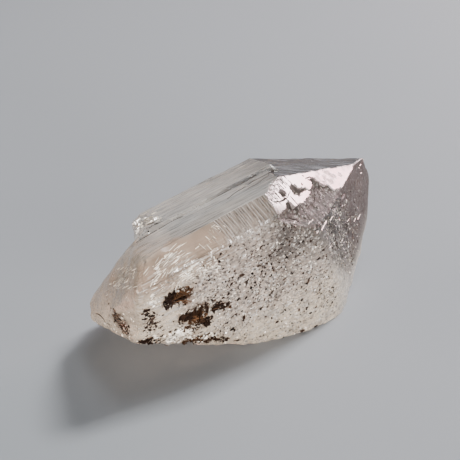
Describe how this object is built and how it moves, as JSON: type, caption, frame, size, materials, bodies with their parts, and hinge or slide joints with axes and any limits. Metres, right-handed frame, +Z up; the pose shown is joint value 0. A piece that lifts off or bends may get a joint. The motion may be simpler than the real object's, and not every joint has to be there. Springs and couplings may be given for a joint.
{
  "type": "quartz crystal",
  "caption": "Clear, faintly smoky quartz point lying on its side: a ridged prism with a bright rhombohedral face, an etched front and a rusty broken butt.",
  "frame": {"origin": "middle of the crystal's outline in plan, on the surface that it rests on", "axes": "+Z up as it lies, +X to the right and +Y away from the viewer as pictured; the crystal's point is toward +X and +Y, its broken butt toward -X and -Y"},
  "size_m": [0.0648, 0.0812, 0.0365],
  "materials": {
    "clear_quartz": "glassy growth faces, silky etched and broken faces"
  },
  "bodies": {
    "root": {"quartz_crystal": "clear_quartz"}
  },
  "joints": []
}
